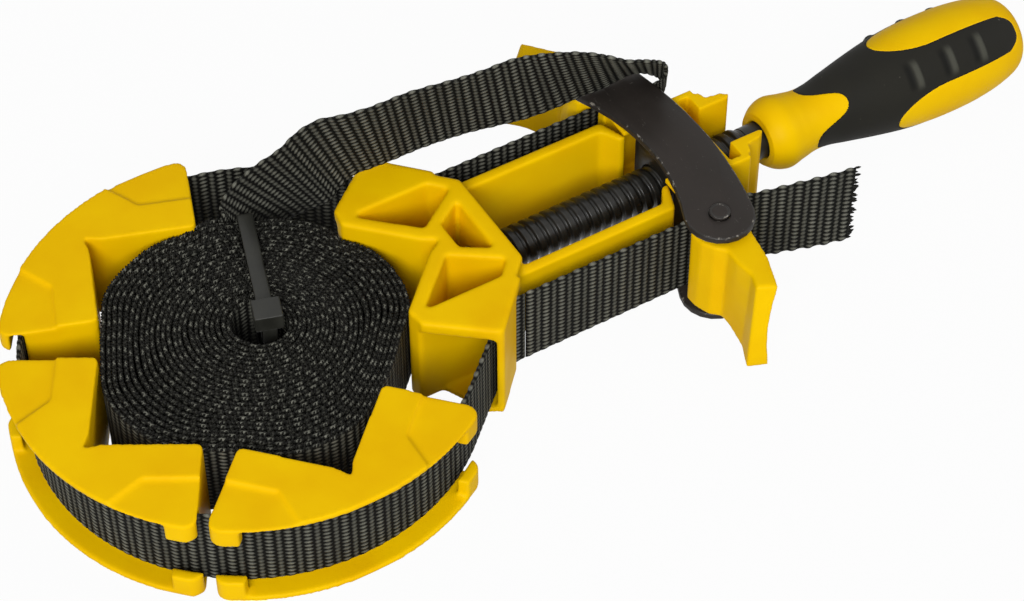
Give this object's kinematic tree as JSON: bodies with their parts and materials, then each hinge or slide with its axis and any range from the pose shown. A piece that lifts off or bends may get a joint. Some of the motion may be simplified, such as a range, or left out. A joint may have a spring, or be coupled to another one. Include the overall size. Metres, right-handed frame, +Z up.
{
  "type": "band clamp with screw tensioner",
  "caption": "Band clamp with corner jaws and a V head pushed by a hand screw, cam grips on a steel-plate frame, and its spare webbing coiled in a cable tie.",
  "frame": {"origin": "middle of the clamp's footprint, on the floor that it lies on", "axes": "+X runs along the screw from the ring of jaws to the handle, +Y to the side of the free band, +Z up"},
  "size_m": [0.304, 0.128, 0.0562],
  "materials": {
    "yellow_plastic": "moulded, satin gloss",
    "screw_steel": "blackened, oiled",
    "plain_steel": "plain",
    "plate_steel": "browned steel, satin, edges worn",
    "soft_grip": "matte, moulded",
    "webbing": "woven, cross ribs",
    "tie_nylon": "moulded nylon"
  },
  "bodies": {
    "head": {"front_head": "yellow_plastic", "thrust_washer": "plain_steel", "band_loop": "webbing", "band_coil": "webbing", "tie_strap": "tie_nylon", "tie_head": "tie_nylon", "band_free_run": "webbing"},
    "spindle": {"spindle": "screw_steel", "retaining_clip": "plain_steel", "handle_core": "yellow_plastic", "handle_grip": "soft_grip"},
    "frame": {"top_plate": "plate_steel", "bottom_plate": "plate_steel", "near_rivet": "plate_steel", "far_rivet": "plate_steel", "guide_block": "yellow_plastic", "spindle_nut": "plain_steel", "band_near_run": "webbing", "band_far_run": "webbing", "band_tail": "webbing"},
    "near_lever": {"near_cam_lever": "yellow_plastic"},
    "far_lever": {"far_cam_lever": "yellow_plastic"},
    "corner_1": {"corner_jaw_1": "yellow_plastic"},
    "corner_2": {"corner_jaw_2": "yellow_plastic"},
    "corner_3": {"corner_jaw_3": "yellow_plastic"}
  },
  "joints": [
    {"name": "spindle_turn", "type": "hinge", "parent": "head", "child": "spindle", "pos_m": [0.002, 0, 0.01565], "axis": [1, 0, 0], "range_deg": [-390, 1610]},
    {"name": "frame_slide", "type": "slide", "parent": "head", "child": "frame", "axis": [1, 0, 0], "range_m": [-0.0145, 0.0035], "deforming": ["band_near_run", "band_far_run", "band_free_run"]},
    {"name": "near_lever_hinge", "type": "hinge", "parent": "frame", "child": "near_lever", "pos_m": [0.0337, -0.0297, 0.01565], "axis": [0, 0, 1], "range_deg": [-20, 30], "deforming": ["band_near_run"]},
    {"name": "far_lever_hinge", "type": "hinge", "parent": "frame", "child": "far_lever", "pos_m": [0.0337, 0.0297, 0.01565], "axis": [0, 0, -1], "range_deg": [0, 50], "deforming": ["band_far_run"]},
    {"name": "corner_1_slide", "type": "hinge", "parent": "head", "child": "corner_1", "pos_m": [-0.088, 0, 0.0145], "axis": [0, 0, 1], "range_deg": [0, 3]},
    {"name": "corner_2_slide", "type": "hinge", "parent": "head", "child": "corner_2", "pos_m": [-0.088, 0, 0.0145], "axis": [0, 0, 1], "range_deg": [-3, 0]},
    {"name": "corner_3_slide", "type": "hinge", "parent": "head", "child": "corner_3", "pos_m": [-0.088, 0, 0.0145], "axis": [0, 0, 1], "range_deg": [0, 6]}
  ],
  "couplings": [
    {"joint": "spindle_turn", "follows": "frame_slide", "rad_per_m": -1933.3}
  ]
}
